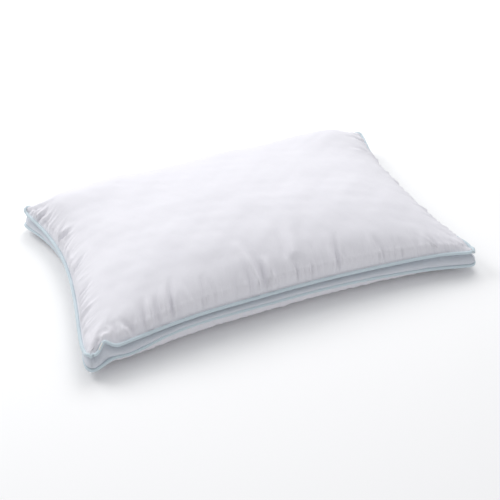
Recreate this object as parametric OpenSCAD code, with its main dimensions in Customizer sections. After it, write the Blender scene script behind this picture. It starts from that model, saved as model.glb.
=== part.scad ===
// Bed pillow with a side gusset and two rows of piping, lying plumped on a flat surface.
// The origin is on the surface below the middle. +X runs along the pillow and +Z is up.
// The long side at -Y is the front. Every seam is made of three layers whose edges turn
// inward: a panel, the tape of the piping and the gusset.

/* [Overall] */
// Length between the corner points of the seams, before they are rounded
length = 736; // [400:1:1000]
// Width between the corner points of the seams, before they are rounded
width = 444; // [300:1:650]
// Height of the plumped pillow at its middle
height = 138; // [110:1:220]

/* [Outline] */
// How far each long side pulls in at its middle
long_pull = 21; // [0:1:40]
// How far each short side pulls in at its middle
short_pull = 27; // [0:1:50]
// Sharpness of the corners, higher is sharper
corner_sharpness = 17; // [12:1:18]

/* [Shell fabric] */
// Thickness of the downproof cotton
fabric_t = 0.6; // [0.4:0.1:1.2]
// Width of the edges that turn inward at every seam
seam_allowance = 9; // [5:0.5:10]

/* [Gusset] */
// Height of the side band, from seam to seam, as it is cut
gusset_h = 30; // [22:1:50]
// Distance between the two seams at the middle of a long side
long_gap = 19; // [12:0.5:24]
// Distance between the two seams at the middle of a short side
short_gap = 16.5; // [12:0.5:24]
// Distance between two gusset strips where they meet at a corner
corner_gap = 0.4; // [0.2:0.1:1]

/* [Piping] */
// Diameter of the filler cord
piping_cord_d = 5.6; // [3:0.1:7]
// Thickness of the tape that is folded round the cord
tape_t = 0.5; // [0.3:0.1:1]
// Distance between the two ends of the piping, at the middle of the back
piping_end_gap = 1; // [0.5:0.1:3]

/* [Underside] */
// Height of the lower seam at the corners
corner_lift = 17; // [12:1:40]
// How much higher the lower seam is at the middle of a long side
long_lift = 17.5; // [0:0.5:25]
// How much higher the lower seam is at the middle of a short side
short_lift = 6; // [0:1:20]
// Share of the way from the middle to the seam that lies flat
contact = 0.78; // [0.5:0.01:0.85]

/* [Crown] */
// Steepness of the crown at the short ends, lower is steeper
end_power = 0.42; // [0.35:0.01:0.8]
// Steepness of the crown at the long sides, lower is steeper
side_power = 0.43; // [0.35:0.01:0.8]
// Extra steepness all round, just above the seam
rim_power = 0.08; // [0.02:0.01:0.2]

/* [Fill] */
// Distance from the fill to the shell
fill_gap = 0.8; // [0.2:0.1:1.5]

/* [Sewing] */
// Diameter of the sewing thread
thread_d = 0.6; // [0.4:0.1:0.8]
// Distance between sewn layers
layer_gap = 0.2; // [0.05:0.05:0.3]
// Length of the opening at the back that is sewn up after filling
closure_len = 180; // [80:1:240]
// Length of one stitch of that closing seam
stitch_len = 4; // [2:0.5:6]
// Distance from one closing stitch to the next
stitch_pitch = 7.5; // [6:0.5:12]

/* [Care label] */
// Width of the blank label
label_w = 34; // [20:1:60]
// Height of its lower edge above the surface
label_z = 8; // [3:1:10]
// Thickness of the label tape
label_t = 0.4; // [0.2:0.1:1]
// Distance of the label from the middle of the back
label_x = 190; // [150:1:220]
// How far the label reaches up into the crevice below the piping
label_tuck = 0.4; // [0.2:0.1:0.6]

/* [Hidden] */

// Steps of the grid along a long side, along a short side, and from the middle to the seam
long_steps = 18;
short_steps = 14;
ring_steps = 10;
pipe_sides = 8;
thread_sides = 4;
fold_steps = 4;
// Clearance of small pieces that lie against each other
clear = 0.05;
// How far the belly of the bottom panel is drawn below the surface before it is cut flat
belly_trim = 0.4;

white = [0.95, 0.95, 0.97];
pale_blue = [0.72, 0.82, 0.87];
cord_white = [0.90, 0.90, 0.88];
fibre_white = [0.98, 0.98, 0.98];
thread_white = [0.86, 0.87, 0.90];

// Heights of the layers on each side of a seam line, measured from its middle
layer_in = tape_t + layer_gap;
layer_out = layer_in + fabric_t;
pipe_r = piping_cord_d / 2 + tape_t;
steps = 2 * (long_steps + short_steps);
crown = height - corner_lift - gusset_h - layer_in;

// The seam runs counter-clockwise round a square of half size 1, from the middle of the
// back, and its corners are rounded by a power curve. Points crowd towards the corners.
function side_t(i, n) = sin(90 * (2 * i / n - 1));
square_loop = [
    for (i = [long_steps / 2 : long_steps - 1]) [-side_t(i, long_steps), 1],
    for (i = [0 : short_steps - 1]) [-1, -side_t(i, short_steps)],
    for (i = [0 : long_steps - 1]) [side_t(i, long_steps), -1],
    for (i = [0 : short_steps - 1]) [1, side_t(i, short_steps)],
    for (i = [0 : long_steps / 2 - 1]) [-side_t(i, long_steps), 1]
];
// Places of the corners on that loop: back left, front left, front right and back right
corner_steps = [
    long_steps / 2,
    long_steps / 2 + short_steps,
    long_steps / 2 + short_steps + long_steps,
    long_steps / 2 + 2 * short_steps + long_steps
];

function power_norm(p) = pow(pow(abs(p.x), corner_sharpness) + pow(abs(p.y), corner_sharpness),
    1 / corner_sharpness);
seam_uv = [for (p = square_loop) p / power_norm(p)];

function plan(p) = [
    p.x * (length / 2 - short_pull * (1 - p.y * p.y)),
    p.y * (width / 2 - long_pull * (1 - p.x * p.x))
];
seam_xy = [for (p = seam_uv) plan(p)];

function unit(v) = v / norm(v);
function wrap(j) = (j + steps) % steps;
function along(j) = unit(
    unit(seam_xy[wrap(j + 1)] - seam_xy[wrap(j)]) + unit(seam_xy[wrap(j)] - seam_xy[wrap(j - 1)]));
// The loop runs counter-clockwise, so outward is to the right of the way along it
outward = [for (j = [0 : steps - 1]) [along(j).y, -along(j).x]];

// Height of the lower seam, and distance between the seams, at a point of the square
function side_share(p) = pow(p.y, 2) * (1 - pow(p.x, 2));
function end_share(p) = pow(p.x, 2) * (1 - pow(p.y, 2));
function seam_gap(p) = gusset_h
    - (gusset_h - long_gap) * (1 - pow(p.x, 4)) * pow(p.y, 8)
    - (gusset_h - short_gap) * (1 - pow(p.y, 4)) * pow(p.x, 8);
function low_z(p) = corner_lift + long_lift * side_share(p) + short_lift * end_share(p);
function top_z(p) = low_z(p) + seam_gap(p);
lower_z = [for (p = square_loop) low_z(p)];
upper_z = [for (p = square_loop) top_z(p)];
// The band folds inward, like a bellows, where its seams are closer than its cut height
fold_in = [for (p = square_loop) sqrt(max(0, pow(gusset_h, 2) - pow(seam_gap(p), 2))) / 2];

// Rings from the middle to the seam crowd towards the seam, where the shell is steep
function ring_s(i) = sin(90 * i / ring_steps);
// Rings of the underside: the first goes round the flat middle
function under_s(i) = i == 0 ? 0 : contact + (1 - contact) * sin(90 * (i - 1) / (ring_steps - 1));

// A point at height z, moved outward by d and along by s from the seam
function at_seam(j, d, z, s = 0) = let (
    k = wrap(j),
    q = seam_xy[k] + d * outward[k] + s * along(k)
) [q.x, q.y, z];

// Place in plan at share s of the way out, inset from the outer surface
function inner_plan(s, j, inset) = plan(s * seam_uv[j]) - s * inset * outward[j];

// A point of the crown at share s of the way out, inset from the outer surface
function crown_point(s, j, inset) = let (
    p = s * seam_uv[j],
    q = inner_plan(s, j, inset),
    rise = pow(1 - p.x * p.x, end_power) * pow(1 - p.y * p.y, side_power)
        * pow(1 - pow(s, corner_sharpness), rim_power)
) [q.x, q.y, top_z(s * square_loop[j]) + layer_in + (crown - inset) * rise];

// A point of the underside at share s of the way out, inset from the outer surface.
// It is level at height base as far as the contact share, and curves up from there.
function under_point(s, j, inset, base) = let (
    w = max(0, s - contact) / (1 - contact),
    q = inner_plan(s, j, inset)
) [q.x, q.y, base + (lower_z[j] - layer_in - base) * (1 - sqrt(1 - w * w))];

// Two triangles between points a and b of one ring and c and d of the next
function quad_faces(a, b, c, d, other_way) = other_way
    ? [[a, b, d], [a, d, c]]
    : [[a, b, c], [b, d, c]];

// Faces between rings that all have n points. A closed row of rings meets its own start.
// From ring turn_ring on, and at the points in turned, the triangles are cut the other way, so
// that both sides of a thin wall, and two layers that lie on each other, have the same facets.
function ring_faces(rings, n, closed, turn_ring = 1e6, turned = []) = [
    for (i = [0 : rings - (closed ? 1 : 2)], k = [0 : n - 1]) let (
        m = (k + 1) % n,
        next = ((i + 1) % rings) * n,
        other_way = i >= turn_ring || search(k, turned) != []
    ) each quad_faces(i * n + k, i * n + m, next + k, next + m, other_way)
];

// Skin of a body whose rings run once round the seam, with a pole at each end. Each profile
// runs from the upper pole out to the seam and back to the lower pole. Ring turn is where it
// turns back.
module domed(profiles, turn) {
    rings = len(profiles[0]) - 2;
    points = [
        for (i = [1 : rings], j = [0 : steps - 1]) profiles[j][i],
        profiles[0][0],
        profiles[0][rings + 1]
    ];
    pole = rings * steps;
    last = pole - steps;
    caps = [
        for (j = [0 : steps - 1]) let (k = (j + 1) % steps) each [
            [pole, k, j],
            [pole + 1, last + j, last + k]
        ]
    ];
    polyhedron(points = points, faces = concat(ring_faces(rings, steps, false, turn), caps));
}

// Faces that close a strip of two sides, whose points run down one side and back up the other
function strip_cap(first, n, flip) = [
    for (k = [0 : n / 2 - 2]) let (
        a = first + k,
        b = first + k + 1,
        c = first + n - 2 - k,
        d = first + n - 1 - k
    ) each flip ? [[a, d, c], [a, c, b]] : [[a, c, d], [a, b, c]]
];

// A strip that is swept along the seam, with an end at each corner. Its upper edge is cut
// into facets like the tape above it.
module swept_strip(sections) {
    n = len(sections[0]);
    last = (len(sections) - 1) * n;
    turned = [0, for (k = [n / 2 : n - 3]) k];
    polyhedron(
        points = [for (section = sections) each section],
        faces = concat(
            ring_faces(len(sections), n, false, turned = turned),
            strip_cap(0, n, true),
            strip_cap(last, n, false)
        )
    );
}

// The panels turn inward at the seam and lie on the tape of the piping
module top_panel() {
    color(white)
        domed([for (j = [0 : steps - 1]) [
            for (i = [0 : ring_steps]) crown_point(ring_s(i), j, 0),
            at_seam(j, -seam_allowance, upper_z[j] + layer_in),
            at_seam(j, -seam_allowance, upper_z[j] + layer_out),
            at_seam(j, -fabric_t, upper_z[j] + layer_out),
            for (i = [ring_steps - 1 : -1 : 0]) crown_point(ring_s(i), j, fabric_t)
        ]], ring_steps);
}

// The underside is pressed flat where it rests, so its belly is cut off at the surface
module bottom_panel() {
    color(white)
        difference() {
            domed([for (j = [0 : steps - 1]) [
                for (i = [0 : ring_steps - 1]) under_point(under_s(i), j, fabric_t, fabric_t),
                at_seam(j, -fabric_t, lower_z[j] - layer_out),
                at_seam(j, -seam_allowance, lower_z[j] - layer_out),
                at_seam(j, -seam_allowance, lower_z[j] - layer_in),
                for (i = [ring_steps : -1 : 0]) under_point(under_s(i), j, 0, -belly_trim)
            ]], ring_steps);
            translate([-length / 2, -width / 2, -2 * belly_trim])
                cube([length, width, 2 * belly_trim]);
        }
}

// Outer side of the gusset's fold at share f of the way down, and the way into the pillow there
function fold_point(j, f) = [
    -fold_in[wrap(j)] * sin(180 * f),
    upper_z[wrap(j)] - layer_in - f * web_h(j)
];
function web_h(j) = upper_z[wrap(j)] - lower_z[wrap(j)] - 2 * layer_in;
function fold_inward(j, f) = unit([-web_h(j), fold_in[wrap(j)] * PI * cos(180 * f)]);
// How far in from the seam line the two sides of a folded edge part
function fold_root(j) = let (
    p = fold_point(j, 0),
    q = fold_point(j, 1 / fold_steps),
    lean = atan2(p.x - q.x, p.y - q.y)
) fabric_t * (1 + sin(lean)) / cos(lean);

function gusset_section(j, s) = let (
    top = upper_z[wrap(j)],
    base = lower_z[wrap(j)],
    shares = [for (k = [1 : fold_steps - 1]) k / fold_steps],
    outer = [
        [-seam_allowance, top - layer_in],
        [0, top - layer_in],
        for (f = shares) fold_point(j, f),
        [0, base + layer_in],
        [-seam_allowance, base + layer_in]
    ],
    inner = [
        [-seam_allowance, base + layer_out],
        [-fold_root(j), base + layer_out],
        for (k = [fold_steps - 1 : -1 : 1]) let (f = k / fold_steps)
            fold_point(j, f) + fabric_t * fold_inward(j, f),
        [-fold_root(j), top - layer_out],
        [-seam_allowance, top - layer_out]
    ]
) [for (p = concat(outer, inner)) at_seam(j, p.x, p.y, s)];

// One strip of the gusset, from one corner of the seam to the next
module gusset_strip(from, to) {
    color(white)
        swept_strip([for (j = [from : to])
            gusset_section(j, j == from ? corner_gap / 2 : (j == to ? -corner_gap / 2 : 0))
        ]);
}

module gusset_left() gusset_strip(corner_steps[0], corner_steps[1]);
module gusset_front() gusset_strip(corner_steps[1], corner_steps[2]);
module gusset_right() gusset_strip(corner_steps[2], corner_steps[3]);
module gusset_back() gusset_strip(corner_steps[3], corner_steps[0] + steps);

// The piping lies just outside the seam line. Its tape closes round the cord at a slit.
slit_angle = asin(tape_t / pipe_r);
pipe_angles = [for (k = [0 : pipe_sides - 1])
    180 - slit_angle - k * (360 - 2 * slit_angle) / (pipe_sides - 1)
];
function pipe_circle(j, r, z, s) = [for (a = pipe_angles)
    at_seam(j, pipe_r + r * cos(a), z + r * sin(a), s)
];
// The ends of the piping lie a small gap apart
function pipe_shift(j) = j == 0 ? piping_end_gap / 2 : (j == steps ? -piping_end_gap / 2 : 0);

module piping_cover(seam_z) {
    n = 2 * pipe_sides + 2;
    // Points of one section: round the outside, back along the tape, then round the hole
    function section(j) = let (z = seam_z[wrap(j)], s = pipe_shift(j)) concat(
        pipe_circle(j, pipe_r, z, s),
        [at_seam(j, -seam_allowance, z - tape_t, s), at_seam(j, -seam_allowance, z + tape_t, s)],
        pipe_circle(j, piping_cord_d / 2 + clear, z, s)
    );
    outer_n = pipe_sides + 2;
    function outer_faces() = [
        for (i = [0 : steps - 1], k = [0 : outer_n - 1]) let (
            a = i * n + k,
            b = i * n + (k + 1) % outer_n
        ) each quad_faces(a, b, a + n, b + n, k == outer_n - 1)
    ];
    function hole_faces() = [
        for (i = [0 : steps - 1], k = [0 : pipe_sides - 1]) let (
            a = i * n + outer_n + k,
            b = i * n + outer_n + (k + 1) % pipe_sides
        ) each [[a, a + n, b], [b, a + n, b + n]]
    ];
    function end_faces(first, flip) = let (
        hole = first + outer_n,
        end = pipe_sides - 1,
        quads = [
            for (k = [0 : end - 1]) [first + k, first + k + 1, hole + k + 1, hole + k],
            [first + end, first, hole, hole + end],
            [first + end, first + end + 1, first + end + 2, first]
        ]
    ) [for (q = quads) each flip
        ? [[q[0], q[2], q[1]], [q[0], q[3], q[2]]]
        : [[q[0], q[1], q[2]], [q[0], q[2], q[3]]]
    ];
    color(pale_blue)
        polyhedron(
            points = [for (j = [0 : steps]) each section(j)],
            faces = concat(outer_faces(), hole_faces(), end_faces(0, true), end_faces(steps * n, false))
        );
}

module upper_piping_cover() piping_cover(upper_z);
module lower_piping_cover() piping_cover(lower_z);

// The filler cord has two cut ends, where the ends of its piping meet
module piping_cord(seam_z) {
    n = pipe_sides;
    last = steps * n;
    points = [
        for (j = [0 : steps])
            each pipe_circle(j, piping_cord_d / 2, seam_z[wrap(j)], pipe_shift(j))
    ];
    ends = [for (k = [1 : n - 2]) each [[0, k + 1, k], [last, last + k, last + k + 1]]];
    color(cord_white)
        polyhedron(points = points, faces = concat(ring_faces(steps + 1, n, false), ends));
}

module upper_piping_cord() piping_cord(upper_z);
module lower_piping_cord() piping_cord(lower_z);

// The fill stays clear of the turned edges and reaches in behind the gusset
module fill() {
    shell = fabric_t + fill_gap;
    edge = seam_allowance + fill_gap;
    stack = layer_out + fill_gap;
    sewn_stack = stack + thread_d;
    color(fibre_white)
        domed([for (j = [0 : steps - 1]) let (
            behind = fold_in[j] + shell + thread_d + fill_gap,
            top = upper_z[j],
            base = lower_z[j]
        ) [
            for (i = [0 : ring_steps - 1]) crown_point(ring_s(i), j, shell),
            at_seam(j, -shell, top + sewn_stack),
            at_seam(j, -edge, top + sewn_stack),
            at_seam(j, -edge, top - stack),
            at_seam(j, -behind, top - stack),
            at_seam(j, -behind, base + stack),
            at_seam(j, -edge, base + stack),
            at_seam(j, -edge, base - sewn_stack),
            at_seam(j, -shell, base - sewn_stack),
            for (i = [ring_steps - 1 : -1 : 0]) under_point(under_s(i), j, shell, shell)
        ]], ring_steps);
}

// Sewing thread that runs all round on the inner side of the turned edges
module seam_thread(seam_z, side) {
    r = thread_d / 2;
    d = -fabric_t - thread_d - fill_gap;
    rise = side * (layer_out + r + clear);
    points = [
        for (j = [0 : steps - 1], k = [0 : thread_sides - 1]) let (a = -k * 360 / thread_sides)
            at_seam(j, d + r * cos(a), seam_z[j] + rise + r * sin(a))
    ];
    color(thread_white)
        polyhedron(points = points, faces = ring_faces(steps, thread_sides, true));
}

module upper_seam_thread() seam_thread(upper_z, 1);
module lower_seam_thread() seam_thread(lower_z, -1);

// A round bar from p to q
module bar(p, q, d) {
    v = q - p;
    translate(p)
        rotate([0, acos(v.z / norm(v)), atan2(v.y, v.x)])
            cylinder(h = norm(v), d = d, $fn = 16);
}

// The short upright seams that join the four strips of the gusset, inside the corners
module gusset_corner_threads() {
    d = -fabric_t - thread_d / 2 - clear;
    color(thread_white)
        for (j = corner_steps)
            bar(
                at_seam(j, d, lower_z[wrap(j)] + layer_out + clear),
                at_seam(j, d, upper_z[wrap(j)] - layer_out - clear),
                thread_d
            );
}

// A point at the back, at distance x from the middle plane, on the chord between two steps.
// It is at share s of the way out over the underside, or at the seam where s is 1.
function back_step(x) = [
    for (j = [0 : steps - 1])
        if (seam_xy[j].y > 0 && seam_xy[j].x >= x && seam_xy[wrap(j + 1)].x < x) j
][0];
function back_share(x) = let (
    j = back_step(x),
    a = seam_xy[j].x,
    b = seam_xy[wrap(j + 1)].x
) (a - x) / (a - b);
function back_mix(x, a, b) = a + back_share(x) * (b - a);
function back_under(x, s, inset) = let (j = back_step(x))
    back_mix(x, under_point(s, j, inset, 0), under_point(s, wrap(j + 1), inset, 0));
function back_seam(x, d, drop) = let (j = back_step(x), k = wrap(j + 1))
    back_mix(x, at_seam(j, d, lower_z[j] - drop), at_seam(k, d, lower_z[k] - drop));

// The opening for the fill is sewn up from outside, just below the lower piping at the back
module closing_stitches() {
    out = -(thread_d / 2 + 2 * clear);
    s = under_s(ring_steps - 1);
    color(thread_white)
        for (x = [-closure_len / 2 : stitch_pitch : closure_len / 2 - stitch_len])
            bar(back_under(x, s, out), back_under(x + stitch_len, s, out), thread_d);
}

// A blank tape that is caught in the lower seam at the back and hangs from it
module care_label() {
    near = label_t;
    top = pipe_r - label_tuck;
    ends = [label_x - label_w / 2, label_x + label_w / 2];
    low = [for (x = ends, d = [near, near + label_t])
        let (p = back_seam(x, d, 0)) [p.x, p.y, label_z]
    ];
    high = [for (x = ends, d = [near, near + label_t]) back_seam(x, d, top)];
    color(white)
        polyhedron(
            points = concat(low, high),
            faces = [
                [0, 2, 3], [0, 3, 1],
                [4, 5, 7], [4, 7, 6],
                [0, 4, 6], [0, 6, 2],
                [1, 3, 7], [1, 7, 5],
                [0, 1, 5], [0, 5, 4],
                [2, 6, 7], [2, 7, 3]
            ]
        );
}

top_panel();
bottom_panel();
gusset_front();
gusset_right();
gusset_back();
gusset_left();
upper_piping_cover();
upper_piping_cord();
lower_piping_cover();
lower_piping_cord();
fill();
upper_seam_thread();
lower_seam_thread();
gusset_corner_threads();
closing_stitches();
care_label();
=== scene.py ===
"""Looks of the bed pillow: a piped cotton shell over loose fibre fill. In metres."""
import math

import bpy
import numpy as np
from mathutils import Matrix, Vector


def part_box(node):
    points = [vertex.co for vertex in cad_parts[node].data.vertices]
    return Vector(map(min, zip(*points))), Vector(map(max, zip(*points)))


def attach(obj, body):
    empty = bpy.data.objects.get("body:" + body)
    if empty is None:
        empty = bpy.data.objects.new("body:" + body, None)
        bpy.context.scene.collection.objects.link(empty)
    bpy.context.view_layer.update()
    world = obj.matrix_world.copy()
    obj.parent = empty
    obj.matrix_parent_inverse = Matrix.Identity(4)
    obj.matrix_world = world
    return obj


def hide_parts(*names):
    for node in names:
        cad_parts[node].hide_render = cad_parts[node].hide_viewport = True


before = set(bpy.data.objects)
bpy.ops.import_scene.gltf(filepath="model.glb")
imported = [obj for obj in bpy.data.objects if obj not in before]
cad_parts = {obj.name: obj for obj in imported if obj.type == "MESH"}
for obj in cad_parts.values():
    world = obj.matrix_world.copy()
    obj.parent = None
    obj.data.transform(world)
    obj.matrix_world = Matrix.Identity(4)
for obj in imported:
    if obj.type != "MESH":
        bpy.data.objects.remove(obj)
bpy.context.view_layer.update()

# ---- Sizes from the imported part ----

panel_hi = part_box("top_panel")[1]
low_pipe_lo, low_pipe_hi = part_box("lower_piping_cover")
up_pipe_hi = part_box("upper_piping_cover")[1]
label_lo, label_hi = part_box("care_label")
closure_lo, closure_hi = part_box("closing_stitches")

CAD_PIPE_R = (up_pipe_hi.x - panel_hi.x) / 2
PIPE_R = 0.0030       # of the piping here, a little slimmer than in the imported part
CORD_R = 0.0024       # of the filler cord in it
FABRIC_T = 0.0005
TAPE_T = 0.0004       # of the piping tape and the label
SEAM_ALLOWANCE = 0.009
# The corner points of the seams, before they are rounded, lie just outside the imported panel
HALF_L = panel_hi.x * 1.0245
HALF_W = panel_hi.y * 1.03
CROWN_Z = panel_hi.z
# Heights of the seams: the lower and the upper one at the corners, the lower one at its highest
CORNER_LOW = low_pipe_lo.z + CAD_PIPE_R
CORNER_TOP = up_pipe_hi.z - CAD_PIPE_R
SIDE_LOW = low_pipe_hi.z - CAD_PIPE_R
GUSSET_H = CORNER_TOP - CORNER_LOW

# ---- How this pillow has settled ----

SHARPNESS = 26        # of the corners in plan
END_PULL = 0.027      # how far the short sides pull in at their middle
SIDE_PULL = 0.021     # the same for the long sides
END_LIFT = 0.006      # rise of the lower seam at the middle of the short sides
LONG_GAP = 0.0190     # between the two seams at the middle of the long sides
SHORT_GAP = 0.0165    # the same for the short sides
SET_BACK = 0.0025     # how far the upper seam lies further in than the lower, on the long sides
CONTACT = 0.78        # share of the underside that lies flat
CUT_EASE = 0.007      # the flat cut reaches this far past the corner points
CUT_L = HALF_L + CUT_EASE
CUT_W = HALF_W + CUT_EASE
BELLY = 0.006         # how far the underside swells out below the lower seam
# Powers of the crown: lower ones give it a flatter top and steeper sides
END_POWER = 0.42
SIDE_POWER = 0.43
RIM_POWER = 0.08
EAR_POWER = 10        # how close to the corner an ear starts
LEFT_POWER = 4        # how close to the left side its own pull starts
# How far each ear of the outline sticks out: (side of the corner in x and y, shift in x and y,
# rise of the upper seam there)
EARS = [
    ((-1, -1), (0.0045, -0.0030), -0.010),
    ((1, -1), (0.0080, -0.0160), -0.012),
    ((1, 1), (0.0045, 0.0), -0.008),
    ((-1, 1), (-0.003, 0.0), -0.003),
]
LEFT_PULL = 0.009     # the left side pulls in this much more than the right one
LEFT_SKEW = 0.0182    # more of that pull towards the back and less towards the front
LEFT_TUCK = 0.010     # the left side's lower seam pulls in this much more than its upper one
# Bends in the front seams, with the dog-ear at the left: (seam, place along the front, half
# width, rise, way in)
BENDS = [
    ("top", -0.905, 0.036, 0.012, 0.009),
    ("low", -0.88, 0.07, 0.005, 0.004),
    ("top", -0.50, 0.26, 0.005, 0.0),
    ("low", -0.50, 0.26, 0.009, 0.0),
]

# ---- Grids ----

LONG_STEPS = 84       # of a panel while it is stuffed
SHORT_STEPS = 52
REFINE = 3            # steps in the finished panel for each of those
CROWDING = 0.35       # how much the steps crowd towards the edges
GUSSET_ROWS = 10
PIPE_SIDES = 14
rng = np.random.default_rng(11)


def crowded(n):
    """Steps from -1 to 1 that crowd a little towards the ends."""
    t = np.linspace(-1, 1, n + 1)
    return (1 - CROWDING) * t + CROWDING * np.sin(t * np.pi / 2)


def rounded(u, v):
    """Points of the unit square, drawn in so that its corners are rounded."""
    reach = np.maximum(abs(u), abs(v))
    norm = (abs(u) ** SHARPNESS + abs(v) ** SHARPNESS) ** (1 / SHARPNESS)
    k = np.where(reach > 0, reach / np.maximum(norm, 1e-9), 1)
    return u * k, v * k


def refined(grid):
    """A grid of points with REFINE steps in place of each one, on Catmull-Rom curves."""
    for axis in (0, 1):
        g = np.moveaxis(grid, axis, 0)
        g = np.concatenate([2 * g[:1] - g[1:2], g, 2 * g[-1:] - g[-2:-1]])
        a, b, c, d = g[:-3], g[1:-2], g[2:-1], g[3:]
        rows = []
        for k in range(REFINE):
            t = k / REFINE
            rows.append(0.5 * (2 * b + (c - a) * t + (2 * a - 5 * b + 4 * c - d) * t ** 2
                               + (3 * b - a - 3 * c + d) * t ** 3))
        g = np.stack(rows, 1).reshape(-1, *g.shape[1:])
        grid = np.moveaxis(np.concatenate([g, c[-1:]]), 0, axis)
    return grid


def rim(grid):
    """The edge of a grid as a closed loop, counter-clockwise from the middle of the back."""
    back = grid[::-1, -1][:-1]
    left = grid[0, ::-1][:-1]
    front = grid[:, 0][:-1]
    right = grid[-1, :][:-1]
    loop = np.concatenate([back, left, front, right])
    return np.roll(loop, -(len(back) // 2), axis=0)


def corner_places(columns, rows):
    """Where the corners are on a rim: back left, front left, front right and back right."""
    first = columns - columns // 2
    return [first, first + rows, first + rows + columns, first + 2 * rows + columns]


def loop_outward(loop):
    """The way out of the pillow, in plan, at each point of a closed loop."""
    d = np.roll(loop, -1, 0) - np.roll(loop, 1, 0)
    n = np.stack([d[:, 1], -d[:, 0], 0 * d[:, 0]], 1)
    return n / np.linalg.norm(n, axis=1)[:, None]


def loop_lengths(loop):
    """Distance along a closed loop, with the whole way round as its last value."""
    step = np.linalg.norm(np.roll(loop, -1, 0) - loop, axis=1)
    return np.concatenate([[0], np.cumsum(step)])


# ---- The form before it is stuffed ----

def side_share(u, v):
    """1 at the middle of the long sides, falling to 0 at the centre and along the short sides."""
    return v * v * (1 - u * u)


def end_share(u, v):
    """1 at the middle of the short sides, falling to 0 at the centre and along the long sides."""
    return u * u * (1 - v * v)


def left_share(u):
    """1 at the left side, 0 from the middle of the length on."""
    return np.clip(-u, 0, 1) ** LEFT_POWER


def bump(x, at, width):
    return np.exp(-((x - at) / width) ** 2)


def bends(seam, u, v):
    """(rise, way in) of the bends in one of the front seams."""
    rise = way_in = 0 * u
    for name, at, width, up, inward in BENDS:
        if name == seam:
            share = bump(u, at, width) * np.clip(-v, 0, 1) ** 8
            rise, way_in = rise + up * share, way_in + inward * share
    return rise, way_in


def ear_share(u, v, corner):
    """1 at one corner, 0 a little away from it."""
    return (np.clip(corner[0] * u, 0, 1) * np.clip(corner[1] * v, 0, 1)) ** EAR_POWER


def plan(u, v, seam):
    """Place in plan of a point of the unit square, on the upper or the lower panel."""
    x = u * (HALF_L - END_PULL * (1 - v * v))
    y = v * (HALF_W - SIDE_PULL * (1 - u * u))
    for corner, (dx, dy), _ in EARS:
        share = ear_share(u, v, corner)
        x, y = x + dx * share, y + dy * share
    x = x + (LEFT_PULL + LEFT_SKEW * v) * left_share(u) * (1 - v * v)
    if seam == "top":
        y = y - SET_BACK * v ** 7 * (1 - u ** 12)
    else:
        # The tuck runs on nearly to the front corner, but fades towards the back one
        x = x + LEFT_TUCK * left_share(u) * np.where(v < 0, 1 - v ** 8, 1 - v * v)
    return x, y + bends(seam, u, v)[1]


def seam_rise(u, v):
    """Height of the lower seam before its bends."""
    lift = (SIDE_LOW - CORNER_LOW) * side_share(u, v) + END_LIFT * end_share(u, v)
    return CORNER_LOW + lift


def low_height(u, v):
    return seam_rise(u, v) + bends("low", u, v)[0]


def top_height(u, v):
    """Height of the upper seam: the band narrows towards the middle of each side."""
    gap = (GUSSET_H - (GUSSET_H - LONG_GAP) * (1 - u ** 4) * v ** 8
           - (GUSSET_H - SHORT_GAP) * (1 - v ** 4) * u ** 8)
    ears = sum(rise * ear_share(u, v, corner) for corner, _, rise in EARS)
    return seam_rise(u, v) + gap + bends("top", u, v)[0] + ears


def panel_forms():
    """The two panels as drawn, and as cut: (top, bottom, top cut, bottom cut)."""
    u0, v0 = np.meshgrid(crowded(LONG_STEPS), crowded(SHORT_STEPS), indexing="ij")
    u, v = rounded(u0, v0)
    reach = np.maximum(abs(u0), abs(v0))
    rise = (np.maximum(1 - u0 * u0, 0) ** END_POWER * np.maximum(1 - v0 * v0, 0) ** SIDE_POWER
            * np.maximum(1 - reach ** SHARPNESS, 0) ** RIM_POWER)
    tip = np.clip(reach - CONTACT, 0, 1) / (1 - CONTACT)
    dip = 1 - np.sqrt(np.maximum(1 - tip * tip, 0))
    top = np.stack([*plan(u, v, "top"), top_height(u0, v0) + (CROWN_Z - CORNER_TOP) * rise], -1)
    bottom = np.stack([*plan(u, v, "low"), low_height(u0, v0) * dip], -1)
    cut = np.stack([u * CUT_L, v * CUT_W, 0 * u], -1)
    apart = np.array([0, 0, GUSSET_H / 2])
    return top, bottom, cut + apart, cut - apart


# ---- Meshes ----

def grid_faces(rows, columns, closed=False):
    """Quads of a grid of points, numbered row by row, which closes round if closed."""
    faces = []
    for i in range(rows - 1):
        for j in range(columns if closed else columns - 1):
            k = (j + 1) % columns
            a, b = i * columns, (i + 1) * columns
            faces.append((a + j, b + j, b + k, a + k))
    return faces


def make_mesh(name, points, faces, cut=None):
    """A mesh object. cut holds where each point lies on the flat piece of cloth."""
    mesh = bpy.data.meshes.new(name)
    mesh.from_pydata(np.asarray(points, float).reshape(-1, 3).tolist(), [], faces)
    if cut is not None:
        own = mesh.attributes.new("cut", "FLOAT_VECTOR", "POINT")
        own.data.foreach_set("vector", np.asarray(cut, np.float32).ravel())
    mesh.update()
    mesh.shade_smooth()
    ob = bpy.data.objects.new(name, mesh)
    bpy.context.scene.collection.objects.link(ob)
    return ob


def flat_square(name, half, z):
    corners = [(-half, -half, z), (half, -half, z), (half, half, z), (-half, half, z)]
    return make_mesh(name, corners, [(0, 1, 2, 3)])


def two_skins(columns, rows):
    """Faces of two grids, one above the other, that look away from each other."""
    faces = grid_faces(columns, rows)
    below = columns * rows
    return faces + [tuple(q + below for q in reversed(f)) for f in faces]


def thicken(ob, thickness, offset=-1):
    """Cloth of some thickness, on one side of the mesh (-1) or on both alike (0)."""
    solid = ob.modifiers.new("thickness", "SOLIDIFY")
    solid.thickness = thickness
    solid.offset = offset
    return ob


# ---- Stuffing: pressure blows the two panels out of their flat cut ----

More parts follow.
